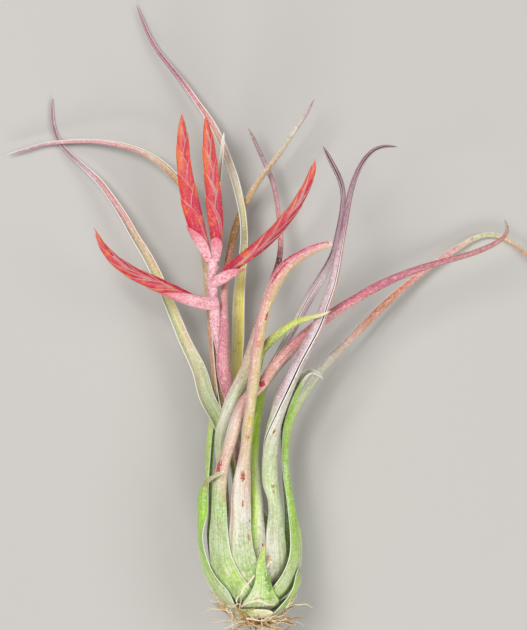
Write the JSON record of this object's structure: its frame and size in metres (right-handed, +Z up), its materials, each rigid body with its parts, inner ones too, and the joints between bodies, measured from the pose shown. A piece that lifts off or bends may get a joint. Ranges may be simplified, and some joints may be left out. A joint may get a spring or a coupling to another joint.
{
  "type": "air plant",
  "caption": "Potless air plant in flower, lying on its back: a green bulb of leaf sheaths, long rolled pink-tipped leaves, and a stalk with flat coral-red flower spikes.",
  "frame": {"origin": "centre of the plant's box, on the surface that it lies on", "axes": "+Y from the roots to the leaf tips, +Z up from the surface, +X to the right when seen from above with the leaf tips up"},
  "size_m": [0.216, 0.2528, 0.0464],
  "materials": {
    "leaf_green": "matt, with fine pale scurf and thin pale margins",
    "leaf_silver": "matt, silvery scurf over green that turns tan and pink going up",
    "leaf_pink": "matt, silvery scurf over green that turns pink going up",
    "bract_red": "satin, coral red with darker chevrons and thin pale edges",
    "stalk_pink": "matt, pale scurf over pink",
    "stem_core": "matt, fleshy",
    "root_brown": "dry and wiry"
  },
  "bodies": {
    "root": {"leaf_cut_front": "leaf_silver", "leaf_pink_right": "leaf_pink", "leaf_dry_left": "leaf_green", "leaf_tall_right": "leaf_silver", "leaf_channel_right": "leaf_silver", "leaf_short_green": "leaf_green", "leaf_curved_centre": "leaf_silver", "leaf_long_left": "leaf_silver", "leaf_arch_left": "leaf_pink", "leaf_tallest_back": "leaf_silver", "leaf_small_left": "leaf_pink", "leaf_long_right": "leaf_pink", "leaf_dry_right": "leaf_green", "stalk_leaf": "leaf_pink", "scale_front": "leaf_green", "scale_right": "leaf_green", "scale_base": "leaf_green", "scale_back": "leaf_green", "spike_left": "bract_red", "spike_middle": "bract_red", "spike_low_left": "bract_red", "spike_right": "bract_red", "flower_stalk": "stalk_pink", "stem": "stem_core", "roots": "root_brown"}
  },
  "joints": []
}
